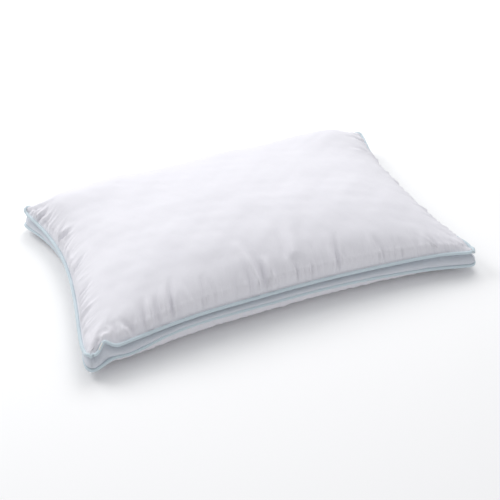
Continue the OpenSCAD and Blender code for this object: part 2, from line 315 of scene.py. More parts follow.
SIM_FRAMES = 40
PRESSURE = 3.0
LOOSENESS = 0.0002     # seeded shifts that the panels start with
BED_DEPTH = 0.001      # how far below the floor the bed lies, so that its margin ends there
SMOOTH_ROUNDS = 50
SMOOTH_STEP = 0.8      # share of the way to the mean of its neighbours that a point goes
SMOOTH_ROWS = 7        # rows over which the smoothing sets in


def set_up_cloth(ob, rest_key):
    cloth = ob.modifiers.new("stuffing", "CLOTH")
    s = cloth.settings
    s.quality = 6
    s.mass = 0.2
    s.tension_stiffness = s.compression_stiffness = 15
    s.shear_stiffness = 5
    s.bending_stiffness = 0.5
    s.tension_damping = s.compression_damping = s.shear_damping = 5
    s.bending_damping = 0.5
    s.air_damping = 1
    s.use_pressure = True
    s.uniform_pressure_force = PRESSURE
    s.vertex_group_mass = "seam"
    s.pin_stiffness = 1
    s.rest_shape_key = rest_key
    s.effector_weights.gravity = 0
    cloth.collision_settings.use_collision = True
    cloth.collision_settings.distance_min = 0.001
    cloth.point_cache.frame_end = SIM_FRAMES


def make_bed():
    """What the pillow lies on while it is stuffed."""
    bed = flat_square("bed", 2, -BED_DEPTH)
    bed.modifiers.new("collision", "COLLISION")
    bed.collision.thickness_outer = BED_DEPTH
    bed.collision.thickness_inner = 0.05
    return bed


def smoothed(grid):
    """A panel without the straight ridges of the simulation. Near its edge it stays as it is."""
    rows_in = [np.minimum(np.arange(n), np.arange(n)[::-1]) for n in grid.shape[:2]]
    depth = np.minimum(*np.meshgrid(*rows_in, indexing="ij"))
    share = SMOOTH_STEP * np.clip((depth - 1) / SMOOTH_ROWS, 0, 1)[1:-1, 1:-1, None]
    for _ in range(SMOOTH_ROUNDS):
        middle = (grid[:-2, 1:-1] + grid[2:, 1:-1] + grid[1:-1, :-2] + grid[1:-1, 2:]) / 4
        inner = grid[1:-1, 1:-1]
        grid = grid.copy()
        grid[1:-1, 1:-1] = inner + (middle - inner) * share
    return grid


def stuffed(top, bottom, top_cut, bottom_cut):
    """The two panels after the simulation. Their edges are held at the seams."""
    columns, rows = top.shape[:2]
    n = columns * rows
    points = np.concatenate([top.reshape(-1, 3), bottom.reshape(-1, 3)])
    edge = rim(np.arange(n).reshape(columns, rows))
    seam = np.concatenate([edge, edge + n])
    loose = rng.normal(size=points.shape) * LOOSENESS
    loose[seam] = 0
    ob = make_mesh("stuffing", points + loose, two_skins(columns, rows))
    ob.shape_key_add(name="drawn")
    rest = ob.shape_key_add(name="cut")
    rest.data.foreach_set("co", np.concatenate([top_cut, bottom_cut]).ravel())
    ob.vertex_groups.new(name="seam").add(seam.tolist(), 1.0, "REPLACE")
    set_up_cloth(ob, rest)
    bed = make_bed()
    for f in range(1, SIM_FRAMES + 1):
        bpy.context.scene.frame_set(f)
    shape = ob.evaluated_get(bpy.context.evaluated_depsgraph_get()).to_mesh()
    co = np.empty(2 * n * 3)
    shape.vertices.foreach_get("co", co)
    bpy.data.objects.remove(ob)
    bpy.data.objects.remove(bed)
    return [smoothed(grid) for grid in co.reshape(2, columns, rows, 3)]


# ---- Puckers and folds, added to the stuffed panel ----

# Where the sides of the flat cut lie, with a little to spare
FRONT = -0.229
LEFT = -0.375
RIGHT = 0.375
# Strong folds, on the flat cut: start near the seam, end, half width, height, side of the crease
FOLDS = [
    ((-0.052, FRONT), (-0.072, -0.145), 0.0085, 0.0040, 1),
    ((-0.036, FRONT), (-0.047, -0.176), 0.0055, -0.0034, 1),
    ((-0.022, FRONT), (-0.030, -0.190), 0.0065, 0.0026, -1),
    ((-0.214, FRONT), (-0.207, -0.168), 0.0055, -0.0036, -1),
    ((-0.226, FRONT), (-0.226, -0.178), 0.0070, 0.0030, 1),
    ((-0.238, FRONT), (-0.240, -0.188), 0.0050, -0.0028, 1),
    ((-0.264, FRONT), (-0.264, -0.184), 0.0060, -0.0034, 1),
    ((-0.252, FRONT), (-0.252, -0.192), 0.0055, 0.0028, 1),
    ((-0.284, FRONT), (-0.312, -0.200), 0.0050, -0.0032, -1),
    ((-0.157, FRONT), (-0.151, -0.186), 0.0055, -0.0024, 1),
    ((-0.095, FRONT), (-0.089, -0.202), 0.0045, -0.0022, 1),
    ((0.026, FRONT), (0.021, -0.200), 0.0050, -0.0028, -1),
    ((0.055, FRONT), (0.045, -0.212), 0.0045, -0.0024, -1),
    ((0.104, FRONT), (0.117, -0.176), 0.0055, -0.0034, 1),
    ((0.094, FRONT), (0.100, -0.188), 0.0065, 0.0026, 1),
    ((0.196, FRONT), (0.189, -0.190), 0.0055, -0.0028, -1),
    ((0.303, -0.225), (0.296, -0.202), 0.0045, -0.0030, -1),
    ((0.026, -0.205), (0.055, -0.090), 0.0180, 0.0026, -1),
    ((LEFT, -0.020), (-0.335, 0.000), 0.0060, -0.0036, 1),
    ((LEFT, 0.094), (-0.333, 0.076), 0.0065, -0.0044, -1),
    ((LEFT, 0.183), (-0.345, 0.171), 0.0050, -0.0040, -1),
    ((LEFT, 0.166), (-0.348, 0.150), 0.0055, -0.0036, -1),
    ((LEFT, -0.086), (-0.338, -0.080), 0.0060, -0.0030, 1),
    ((LEFT, -0.140), (-0.345, -0.128), 0.0060, 0.0030, 1),
    ((0.370, 0.178), (0.300, 0.140), 0.0060, -0.0026, 1),
    ((RIGHT, 0.110), (0.280, 0.100), 0.0070, -0.0024, -1),
]
FOLD_STRENGTH = 2.2
UNDER_FOLDS = 0.35      # share of it that the puckers of the underside have
# A fold widens from its start to its end: shares of its width
FOLD_START = 0.55
FOLD_SPREAD = 0.60
FOLD_FADE = 1.2         # power with which its height dies away
# The crease beside a fold: depth as a share of the height, place and width as shares of the width
CREASE_DEPTH = 0.5
CREASE_AT = 1.55
CREASE_WIDTH = 0.6
# Folds that run in from each corner: way in along x and y, half width, height
CORNER_FOLDS = [
    ((-1, -1), (0.050, 0.045), 0.013, 0.0030),
    ((1, -1), (0.065, 0.035), 0.010, 0.0022),
    ((1, 1), (0.060, 0.045), 0.012, 0.0028),
    ((-1, 1), (0.060, 0.040), 0.011, 0.0028),
]
CORNER_INSET = 0.006    # how far in from the corner of the cut these start
# Seeded puckers all round: the least and the most of each measure
PUCKER_LENGTH = (0.014, 0.050)
PUCKER_HALF_WIDTH = (0.0030, 0.0060)
PUCKER_HEIGHT = (0.0006, 0.0020)
PUCKER_SPACING = (0.007, 0.019)
PUCKER_LEAN = 0.25      # how far they lean, as a share of their length
PUCKER_MARGIN = 0.02    # stretch next to each corner that has none
# Soft undulations of the top: how many, shortest and longest wavelength, height, and the
# depth over which they set in
WAVES = [(9, 0.07, 0.16, 0.0009, 0.06), (9, 0.02, 0.05, 0.00022, 0.03)]
# Where the fill lies thicker: place and size on the flat cut, height
FULLNESS = [
    ((0.270, 0.165), (0.100, 0.055), 0.0160),
    ((0.030, 0.165), (0.160, 0.060), 0.0060),
    ((-0.245, 0.155), (0.105, 0.065), 0.0150),
    ((-0.325, 0.180), (0.060, 0.045), 0.0100),
]
FULL_EDGE = 0.05        # depth over which that sets in
TOP_EDGE = 0.0055       # the same for the folds of the top
UNDER_EDGE = 0.006      # and of the underside
REST_EDGE = 0.008       # the underside has no folds where it rests, and all of them above this


def fold_shape(cut, start, end, width, height, crease_side):
    """Height of one fold at each point of the cut: a ridge or valley with a crease beside it."""
    start, way = np.array(start), np.array(end) - np.array(start)
    length = np.linalg.norm(way)
    along = way / length
    across = np.array([along[1], -along[0]])
    q = cut[..., :2] - start
    s = q @ along / length
    x = q @ across / (width * (FOLD_START + FOLD_SPREAD * np.clip(s, 0, 1)))
    # It sets in just outside its start and has its full height a little way in
    fade = np.clip(1 - s, 0, 1) ** FOLD_FADE * np.clip((s + 0.03) / 0.1, 0, 1)
    shape = bump(x, 0, 1) - CREASE_DEPTH * bump(x, CREASE_AT * crease_side, CREASE_WIDTH)
    return FOLD_STRENGTH * height * fade * shape


def small_folds():
    """Seeded puckers all round, square to the seam and a little askew."""
    made = []
    sides = [(0, -CUT_W, CUT_L), (1, -CUT_L, CUT_W), (0, CUT_W, CUT_L), (1, CUT_L, CUT_W)]
    for axis, edge, half in sides:
        at = -half + PUCKER_MARGIN
        while at < half - PUCKER_MARGIN:
            length = rng.uniform(*PUCKER_LENGTH)
            lean = rng.normal() * PUCKER_LEAN
            start, end = [0, 0], [0, 0]
            start[axis], end[axis] = at, at + lean * length
            start[1 - axis], end[1 - axis] = edge, edge - math.copysign(length, edge)
            height = rng.uniform(*PUCKER_HEIGHT) * rng.choice([-1, 1])
            half_width = rng.uniform(*PUCKER_HALF_WIDTH)
            made.append((start, end, half_width, height, rng.choice([-1, 1])))
            at += rng.uniform(*PUCKER_SPACING)
    return made


def corner_folds():
    made = []
    for (sx, sy), (in_x, in_y), width, height in CORNER_FOLDS:
        start = (sx * (CUT_L - CORNER_INSET), sy * (CUT_W - CORNER_INSET))
        made.append((start, (start[0] - sx * in_x, start[1] - sy * in_y), width, height, 1))
    return made


def waves(cut, count, shortest, longest, height):
    """Soft seeded undulations, with wavelengths between the two that are given."""
    total = 0 * cut[..., 0]
    for _ in range(count):
        angle = rng.uniform(0, 2 * math.pi)
        k = 2 * math.pi / rng.uniform(shortest, longest)
        way = np.array([math.cos(angle), math.sin(angle)])
        total = total + np.sin(cut[..., :2] @ way * k + rng.uniform(0, 2 * math.pi))
    return height * total / math.sqrt(count)


def grid_normals(grid):
    n = np.cross(np.gradient(grid, axis=0), np.gradient(grid, axis=1))
    return n / np.maximum(np.linalg.norm(n, axis=-1, keepdims=True), 1e-12)


def edge_share(cut, depth):
    """From 0 at the edge of the cut to 1 at that depth and further in."""
    inside = np.minimum(CUT_L - abs(cut[..., 0]), CUT_W - abs(cut[..., 1]))
    t = np.clip(inside / depth, 0, 1)
    return t * t * (3 - 2 * t)


def creased_top(grid, cut):
    """The top with its folds, undulations and fullness."""
    folds = sum(fold_shape(cut, *fold) for fold in FOLDS + corner_folds() + small_folds())
    height = folds * edge_share(cut, TOP_EDGE)
    for *form, depth in WAVES:
        height = height + waves(cut, *form) * edge_share(cut, depth)
    for (x, y), (wide, deep), up in FULLNESS:
        fuller = up * bump(cut[..., 0], x, wide) * bump(cut[..., 1], y, deep)
        height = height + fuller * edge_share(cut, FULL_EDGE)
    return grid + grid_normals(grid) * height[..., None]


def creased_bottom(grid, cut):
    """The underside with its puckers, swelling out between its flat part and the seam."""
    height = sum(UNDER_FOLDS * fold_shape(cut, *fold) for fold in small_folds())
    inner = edge_share(cut, UNDER_EDGE)
    lifted = np.clip(grid[..., 2] / REST_EDGE, 0, 1) * inner
    made = grid - grid_normals(grid) * (height * lifted)[..., None]
    rise = np.clip(grid[..., 2] / SIDE_LOW, 0, 1)
    swell = BELLY * np.sin(math.pi * rise) * np.clip(rise * 20, 0, 1)
    reach = np.stack([cut[..., 0] / CUT_L, cut[..., 1] / CUT_W], -1)
    way = np.sign(reach) * abs(reach) ** 12
    made[..., :2] += way * swell[..., None]
    made[..., 2] = np.maximum(made[..., 2] - made[..., 2].min() * inner, 0)
    return made


# ---- Materials ----

GATHER_REACH = 0.055   # how far in from a seam the fine gathers run
GATHER_SCALE = 110     # of the noise that they are made of
GATHER_DEPTH = 0.0030
GATHER_STRETCH = 0.1   # their breadth as a share of their length
PLY_ANGLE = 35         # of the plies of a yarn, in degrees


def new_material(name):
    """A material, its node tree and its shader."""
    mat = bpy.data.materials.new(name)
    mat.use_nodes = True
    return mat, mat.node_tree, mat.node_tree.nodes["Principled BSDF"]


def node(tree, kind, **values):
    """A node with the values of its inputs and, where no input has that name, its settings."""
    made = tree.nodes.new(kind)
    for name, value in values.items():
        if name in made.inputs:
            made.inputs[name].default_value = value
        else:
            setattr(made, name, value)
    return made


def cloth_coordinates(tree):
    """Where a point lies on the flat piece of cloth, in metres."""
    return node(tree, "ShaderNodeAttribute", attribute_name="cut").outputs["Vector"]


def math_node(tree, operation, a, b):
    made = node(tree, "ShaderNodeMath", operation=operation)
    for socket, value in zip(made.inputs, (a, b)):
        if isinstance(value, (int, float)):
            socket.default_value = value
        else:
            tree.links.new(value, socket)
    return made.outputs[0]


def turned(tree, where, degrees):
    """Coordinates turned in the plane of the cloth."""
    made = node(tree, "ShaderNodeMapping", Rotation=(0, 0, math.radians(degrees)))
    tree.links.new(where, made.inputs["Vector"])
    return made.outputs[0]


def bands(tree, where, way, pitch):
    """Soft bands across X or Y that lie a pitch apart."""
    wave = node(tree, "ShaderNodeTexWave", bands_direction=way, Scale=math.pi / 10 / pitch)
    tree.links.new(where, wave.inputs["Vector"])
    return wave.outputs["Fac"]


def weave_height(tree, where, pitch, diagonal=False):
    """Height of a plain weave, or of a bias-cut one, whose threads lie a pitch apart."""
    grain = turned(tree, where, 45 if diagonal else 0)
    return math_node(tree, "MULTIPLY", *(bands(tree, grain, way, pitch) for way in "XY"))


def noise(tree, where, scale, detail=3.0, roughness=0.55, stretch=(1, 1, 1)):
    mapped = node(tree, "ShaderNodeMapping", Scale=stretch)
    tree.links.new(where, mapped.inputs["Vector"])
    made = node(tree, "ShaderNodeTexNoise", Scale=scale, Detail=detail, Roughness=roughness)
    tree.links.new(mapped.outputs[0], made.inputs["Vector"])
    return made.outputs["Fac"]


def ramp(tree, fac, low, high):
    """Colours from low to high."""
    made = node(tree, "ShaderNodeValToRGB")
    made.color_ramp.elements[0].color = (*low, 1)
    made.color_ramp.elements[1].color = (*high, 1)
    made.color_ramp.elements[0].position = 0.3
    made.color_ramp.elements[1].position = 0.7
    tree.links.new(fac, made.inputs[0])
    return made.outputs[0]


def spread(tree, fac, low, high):
    """A share from 0 to 1, as a number from low to high."""
    made = node(tree, "ShaderNodeMapRange")
    made.inputs["To Min"].default_value = low
    made.inputs["To Max"].default_value = high
    tree.links.new(fac, made.inputs[0])
    return made.outputs[0]


def seam_gathers(tree, where):
    """Height of fine gathers that run in from the seams, square to them."""
    apart = node(tree, "ShaderNodeSeparateXYZ")
    tree.links.new(where, apart.inputs[0])
    sides = []
    for out, half, stretch in (("X", HALF_L, (GATHER_STRETCH, 1, 1)),
                               ("Y", HALF_W, (1, GATHER_STRETCH, 1))):
        reach = node(tree, "ShaderNodeMapRange", interpolation_type="SMOOTHSTEP")
        reach.inputs["From Min"].default_value = half - GATHER_REACH
        reach.inputs["From Max"].default_value = half
        tree.links.new(math_node(tree, "ABSOLUTE", apart.outputs[out], 0), reach.inputs[0])
        gathers = noise(tree, where, GATHER_SCALE, 2.0, 0.45, stretch)
        sides.append(math_node(tree, "MULTIPLY", reach.outputs[0], gathers))
    return math_node(tree, "ADD", *sides)


def bumped(tree, layers):
    """A normal from several (height, distance in metres, strength) layers, one on another."""
    normal = None
    for height, distance, strength in layers:
        made = node(tree, "ShaderNodeBump", Distance=distance, Strength=strength)
        tree.links.new(height, made.inputs["Height"])
        if normal is not None:
            tree.links.new(normal, made.inputs["Normal"])
        normal = made.outputs[0]
    return normal


def fabric(name, low, high, pitch, diagonal=False, sheen=0.2, rough=(0.72, 0.9), wrinkle=0.35,
           gathers=0.0):
    """Woven cloth: its weave, fine wrinkles, and a little variation in colour and roughness."""
    mat, tree, shader = new_material(name)
    where = cloth_coordinates(tree)
    woven = weave_height(tree, where, pitch, diagonal)
    crumple = noise(tree, where, 55, 4)
    patches = noise(tree, where, 14, 2)
    slubs = noise(tree, where, 900, 2, 0.5, (0.15, 1, 1))
    shade = math_node(tree, "ADD", math_node(tree, "MULTIPLY", patches, 0.7),
                      math_node(tree, "MULTIPLY", slubs, 0.3))
    tree.links.new(ramp(tree, shade, low, high), shader.inputs["Base Color"])
    tree.links.new(spread(tree, slubs, *rough), shader.inputs["Roughness"])
    layers = [(crumple, 0.0012, wrinkle), (slubs, 0.0001, 0.15), (woven, 0.00012, 0.25)]
    if gathers:
        layers.insert(0, (seam_gathers(tree, where), GATHER_DEPTH, gathers))
    tree.links.new(bumped(tree, layers), shader.inputs["Normal"])
    shader.inputs["Sheen Weight"].default_value = sheen
    shader.inputs["Sheen Roughness"].default_value = 0.45
    shader.inputs["Specular IOR Level"].default_value = 0.3
    return mat


def twisted(name, low, high, pitch):
    """Twisted yarn: plies that run aslant round the strand."""
    mat, tree, shader = new_material(name)
    where = cloth_coordinates(tree)
    plies = bands(tree, turned(tree, where, PLY_ANGLE), "X", pitch)
    fibres = noise(tree, where, 2500, 3)
    tree.links.new(ramp(tree, plies, low, high), shader.inputs["Base Color"])
    tree.links.new(spread(tree, fibres, 0.6, 0.9), shader.inputs["Roughness"])
    layers = [(plies, 0.0003, 0.7), (fibres, 0.0001, 0.4)]
    tree.links.new(bumped(tree, layers), shader.inputs["Normal"])
    shader.inputs["Sheen Weight"].default_value = 0.3
    return mat


def fibre_material():
    """Loose polyester clusters."""
    mat, tree, shader = new_material("fibre_fill")
    where = node(tree, "ShaderNodeTexCoord").outputs["Object"]
    clusters = noise(tree, where, 60, 5, 0.7)
    hairs = noise(tree, where, 900, 4, 0.7)
    tree.links.new(ramp(tree, clusters, (0.84, 0.84, 0.86), (0.96, 0.96, 0.97)),
                   shader.inputs["Base Color"])
    tree.links.new(bumped(tree, [(clusters, 0.003, 0.6), (hairs, 0.0006, 0.6)]),
                   shader.inputs["Normal"])
    tree.links.new(spread(tree, hairs, 0.85, 1.0), shader.inputs["Roughness"])
    shader.inputs["Sheen Weight"].default_value = 0.5
    return mat


# ---- Pieces ----

LAYER_APART = 0.0007    # how far off the seam line the turned-in edge of a panel lies
TRIM_REACH = 0.03       # how far from a corner the seam allowance is clipped shorter
TRIM_SHARE = 0.3        # what is left of it right at the corner


def finish_piece(ob, material, slot, *nodes):
    """Material and body of a piece that stands for some CAD nodes, which it hides. Its slot is not
    used.
    """
    ob.data.materials.append(material)
    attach(ob, "root")
    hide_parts(*nodes)


def panel_piece(name, grid, cut, faces_up):
    """A panel with its turned-in seam allowance, which is hidden inside."""
    columns, rows = grid.shape[:2]
    index = np.arange(columns * rows).reshape(columns, rows)
    faces = [f if faces_up else f[::-1] for f in grid_faces(columns, rows)]
    loop, loop_cut, edge = rim(grid), rim(cut), rim(index)
    n = len(edge)
    points, cuts = [grid.reshape(-1, 3)], [cut.reshape(-1, 3)]
    first = columns * rows
    rows_in = [edge] + [np.arange(n) + first + k * n for k in range(2)]
    way_in = -loop_outward(loop)
    for share in (0.5, 1.0):
        turned_in = loop + way_in * SEAM_ALLOWANCE * share * corner_ease(loop)[:, None]
        turned_in[:, 2] += (LAYER_APART if faces_up else -LAYER_APART)
        points.append(turned_in)
        cuts.append(loop_cut * (1 + SEAM_ALLOWANCE * share / HALF_L))
    for a, b in zip(rows_in[:-1], rows_in[1:]):
        for j in range(n):
            k = (j + 1) % n
            quad = (int(a[j]), int(b[j]), int(b[k]), int(a[k]))
            faces.append(quad[::-1] if faces_up else quad)
    ob = make_mesh(name, np.concatenate(points), faces, np.concatenate(cuts))
    return thicken(ob, FABRIC_T)


def corner_ease(loop):
    """What is left of the seam allowance at each point, clipped shorter near the corners."""
    corners = corner_places(LONG_STEPS * REFINE, SHORT_STEPS * REFINE)
    near = np.min([np.linalg.norm(loop - loop[c], axis=1) for c in corners], axis=0)
    return TRIM_SHARE + (1 - TRIM_SHARE) * np.clip(near / TRIM_REACH, 0, 1)


# The band is longer than the way between its seams. It tucks in under the upper one and
# swells out above the lower: shares of the depth that a single fold would have.
BAND_TUCK = 0.30
BAND_SWELL = 0.17
BAND_SKEW = 0.9         # below 1 the tuck takes up less of the width than the swell
BAND_SLACK = 1.02       # its width as a share of the gusset's height
CRUMPLE = 0.0018        # height of the crumples along it
CRUMPLE_COUNT = 7


def gusset_grid(top_loop, low_loop):
    """Rows of the side band, from the upper seam to the lower."""
    out = (loop_outward(top_loop) + loop_outward(low_loop)) / 2
    apart = np.linalg.norm(top_loop - low_loop, axis=1)
    depth = np.sqrt(np.maximum((GUSSET_H * BAND_SLACK) ** 2 - apart ** 2, 0))
    away = loop_lengths(low_loop)[:-1]
    ripple = sum(rng.uniform(0.3, 1) * np.sin(away * 2 * math.pi / rng.uniform(0.02, 0.09)
                                              + rng.uniform(0, 6))
                 for _ in range(CRUMPLE_COUNT)) / 3
    rows = []
    for k in range(GUSSET_ROWS + 1):
        f = k / GUSSET_ROWS
        fold = math.sin(2 * math.pi * f ** BAND_SKEW)
        inward = depth * (BAND_TUCK if fold > 0 else BAND_SWELL) * fold
        # The crumples lie aslant, and fade towards both seams
        crumple = ripple * CRUMPLE * math.sin(math.pi * f) * np.cos(4 * f + away * 35)
        rows.append(top_loop * (1 - f) + low_loop * f - out * (inward + crumple)[:, None])
    return np.stack(rows)


def sheet(name, grid, along, across, thickness, offset=-1):
    """A strip of cloth. along and across say where its columns and rows lie on the flat."""
    cut = np.stack([*np.meshgrid(along, across), np.zeros((len(across), len(along)))], -1)
    return thicken(make_mesh(name, grid, grid_faces(*grid.shape[:2]), cut), thickness, offset)


def gusset_piece(name, grid, start, end):
    """One strip of the side band, between two corners."""
    n = grid.shape[1]
    places = [j % n for j in range(start, end + 1)]
    strip = grid[:, places]
    along = np.concatenate([[0], np.cumsum(np.linalg.norm(np.diff(strip[0], axis=0), axis=1))])
    return sheet(name, strip, along, np.linspace(0, GUSSET_H, len(strip)), FABRIC_T)


def open_loop(loop, gap):
    """A closed loop, opened by a gap at its first point."""
    way = loop[1] - loop[-1]
    way = way / np.linalg.norm(way) * gap / 2
    return np.concatenate([[loop[0] + way], loop[1:], [loop[0] - way]])


# Of the piping: how far it sinks into the seam, the gap between its ends, how far the edges of
# its tape reach in as a share of the seam allowance, and how far apart those edges are
PIPE_SINK = 0.0003
PIPE_GAP = 0.001
TAPE_REACH = 0.8
TAPE_APART = 0.0006
TAPE_OVERLAP = 10       # degrees that the tape goes past the seam on each side
CORD_SIDES = 10
# Its seeded swellings: height as a share of the radius, shortest and longest distance, number
SWELLING = (0.035, 0.008, 0.03, 14)


def swellings(length, n):
    """Small seeded changes of thickness along a closed loop, with its first point repeated."""
    height, shortest, longest, count = SWELLING
    total = np.zeros(n)
    t = np.linspace(0, 2 * math.pi, n, endpoint=False)
    for _ in range(count):
        k = round(length / rng.uniform(shortest, longest))
        total += np.sin(k * t + rng.uniform(0, 2 * math.pi))
    made = 1 + height * total / math.sqrt(count)
    return np.concatenate([made, made[:1]])


def piping_pieces(name, loop, pipe_cloth, cord_yarn):
    """The folded tape and the filler cord in it, just outside a seam."""
    out, up = loop_outward(loop), np.array([0, 0, 1])
    centre = loop + out * (PIPE_R - PIPE_SINK)
    length = loop_lengths(centre)
    tape_line, out = open_loop(centre, PIPE_GAP), np.concatenate([out, out[:1]])
    radius = PIPE_R * swellings(length[-1], len(loop))
    reach = SEAM_ALLOWANCE * TAPE_REACH * np.concatenate([corner_ease(loop), [1]])
    edge = tape_line - out * reach[:, None]
    half_turn = 180 + TAPE_OVERLAP
    angles = np.radians(np.linspace(half_turn, -half_turn, PIPE_SIDES + 1))
    rows = [edge + up * TAPE_APART / 2]
    for a in angles[1:-1]:
        rows.append(tape_line + (out * math.cos(a) + up * math.sin(a)) * radius[:, None])
    rows.append(edge - up * TAPE_APART / 2)
    across = np.linspace(0, 2 * math.pi * PIPE_R, len(rows))
    cover = sheet(name + "_piping_tape", np.stack(rows), length, across, TAPE_T)
    finish_piece(cover, pipe_cloth, "piping_tape", name + "_piping_cover")
    cord = tube(name + "_filler_cord", tape_line, CORD_R, CORD_SIDES, closed=False)
    finish_piece(cord, cord_yarn, "piping_cord", name + "_piping_cord")


def tube(name, line, radius, sides, closed):
    """A round strand along a line, with its ends closed if the line is open."""
    line = np.asarray(line)
    if closed:
        way = np.roll(line, -1, 0) - np.roll(line, 1, 0)
    else:
        way = np.gradient(line, axis=0)
    way = way / np.linalg.norm(way, axis=1)[:, None]
    upright = np.abs(way[:, 2]) > 0.9     # these stretches take another helper direction
    helper = np.where(upright[:, None], np.array([1.0, 0, 0]), np.array([0, 0, 1.0]))
    side = np.cross(way, helper)
    side /= np.linalg.norm(side, axis=1)[:, None]
    up = np.cross(side, way)
    angles = np.linspace(0, 2 * math.pi, sides, endpoint=False)
    rings = np.stack([line + radius * (side * math.cos(a) + up * math.sin(a)) for a in angles], 1)
    away = np.concatenate([[0], np.cumsum(np.linalg.norm(np.diff(line, axis=0), axis=1))])
    cut = np.stack([*np.meshgrid(away, angles * radius, indexing="ij"),
                    np.zeros((len(line), sides))], -1)
    faces = grid_faces(len(line), sides, closed=True)
    last = (len(line) - 1) * sides
    if closed:
        faces += [(last + j, j, (j + 1) % sides, last + (j + 1) % sides) for j in range(sides)]
    else:
        faces += [tuple(range(sides)), tuple(last + j for j in reversed(range(sides)))]
    return make_mesh(name, rings, [f[::-1] for f in faces], cut)


THREAD_R = 0.0003
THREAD_SIDES = 6
THREAD_INSET = 0.0016   # how far inside the seam line the machine threads lie
THREAD_RISE = 0.0014    # and how far above the upper one or below the lower one
STITCH_PITCH = 0.003
STITCH_DIP = 0.0002


def lockstitch(loop, rise):
    """A seam thread that dips a little at each stitch."""
    length = loop_lengths(loop)
    count = int(length[-1] / STITCH_PITCH) * 4
    at = np.linspace(0, length[-1], count, endpoint=False)
    whole = np.concatenate([loop, loop[:1]])
    line = np.stack([np.interp(at, length, whole[:, i]) for i in range(3)], 1)
    line = line - loop_outward(line) * THREAD_INSET
    line[:, 2] += rise + STITCH_DIP * np.cos(np.arange(count) * math.pi / 2)
    return line


def joined_tubes(name, lines, radius, sides):
    """Several short strands as one piece."""
    parts = [tube(name, line, radius, sides, closed=False) for line in lines]
    points, faces, cuts = [], [], []
    for part in parts:
        first = sum(len(p) for p in points)
        mesh = part.data
        co, cut = np.empty(len(mesh.vertices) * 3), np.empty(len(mesh.vertices) * 3)
        mesh.vertices.foreach_get("co", co)
        mesh.attributes["cut"].data.foreach_get("vector", cut)
        points.append(co.reshape(-1, 3))
        cuts.append(cut.reshape(-1, 3))
        faces += [tuple(first + v for v in f.vertices) for f in mesh.polygons]
        bpy.data.objects.remove(part)
    return make_mesh(name, np.concatenate(points), faces, np.concatenate(cuts))


def corner_thread_lines(grid):
    """The upright seams that join the strips, just inside the side band."""
    lines = []
    n = grid.shape[1]
    centre = grid.mean((0, 1))
    for c in corner_places(LONG_STEPS * REFINE, SHORT_STEPS * REFINE):
        line = grid[1:-1, c % n]
        inward = centre - line
        inward[:, 2] = 0
        inward /= np.linalg.norm(inward, axis=1)[:, None]
        lines.append(line + inward * THREAD_INSET)
    return lines


def back_row(grid, rows_in, x):
    """Points at distance x on the row of a panel that lies so many rows in from the back."""
    row = grid[:, -1 - rows_in]
    return np.stack([np.interp(x, row[:, 0], row[:, i]) for i in range(3)], -1)


HAND_R = 0.00035
HAND_SIDES = 8
HAND_PITCH = 0.0075
HAND_STITCH = 0.0045
HAND_ARCH = 0.0010      # height of a stitch
HAND_SUNK = 0.00042     # how deep its ends go into the cloth
HAND_POINTS = 7
HAND_ROWS_IN = 2        # how many rows of the bottom panel they lie in from its edge


def closing_stitch_lines(bottom):
    """Hand stitches that close the opening for the fill, just below the lower piping."""
    lines = []
    arch = np.sin(np.linspace(0, math.pi, HAND_POINTS)) * HAND_ARCH - HAND_SUNK
    for x in np.arange(closure_lo.x, closure_hi.x - HAND_STITCH, HAND_PITCH):
        line = back_row(bottom, HAND_ROWS_IN, np.linspace(x, x + HAND_STITCH, HAND_POINTS))
        # They stand out square to the cloth there, which looks back and down
        line[:, 1] += arch * 0.8
        line[:, 2] -= arch * 0.6
        lines.append(line)
    return lines


LABEL_COLUMNS = 15
LABEL_ROWS = 14
LABEL_CLEAR = 0.0012    # behind and below the seam line, where it comes out
LABEL_CURL = 0.0045     # how far its free edge curls away
LABEL_BELLY = 0.0015
LABEL_RIPPLE = 0.0008


def label_piece(low_loop, material):
    """A blank tape that is caught in the lower seam and hangs from it."""
    xs = np.linspace(label_lo.x, label_hi.x, LABEL_COLUMNS)
    back = low_loop[low_loop[:, 1] > 0]
    back = back[np.argsort(back[:, 0])]
    seam_y, seam_z = (np.interp(xs, back[:, 0], back[:, i]) for i in (1, 2))
    rows = []
    for f in np.linspace(0, 1, LABEL_ROWS):
        curl = LABEL_CURL * f ** 2 + LABEL_RIPPLE * np.sin(xs * 240) * f
        y = seam_y + LABEL_CLEAR + curl + LABEL_BELLY * math.sin(math.pi * f)
        z = seam_z - LABEL_CLEAR + (label_lo.z - seam_z) * f
        rows.append(np.stack([xs, y, z], -1))
    across = np.linspace(0, seam_z.max() - label_lo.z, len(rows))
    ob = sheet("label_tape", np.stack(rows), xs, across, TAPE_T, 0)
    soft = ob.modifiers.new("rounded edges", "SUBSURF")
    soft.levels = soft.render_levels = 1
    finish_piece(ob, material, "label_tape", "care_label")


FILL_CLEAR = 0.0035     # between the fill and the panels
FILL_EDGE = 0.016       # between the edge of the fill and the seams
FILL_TAPER = 0.0025     # how much thinner than the shell it is at its edge, on each side


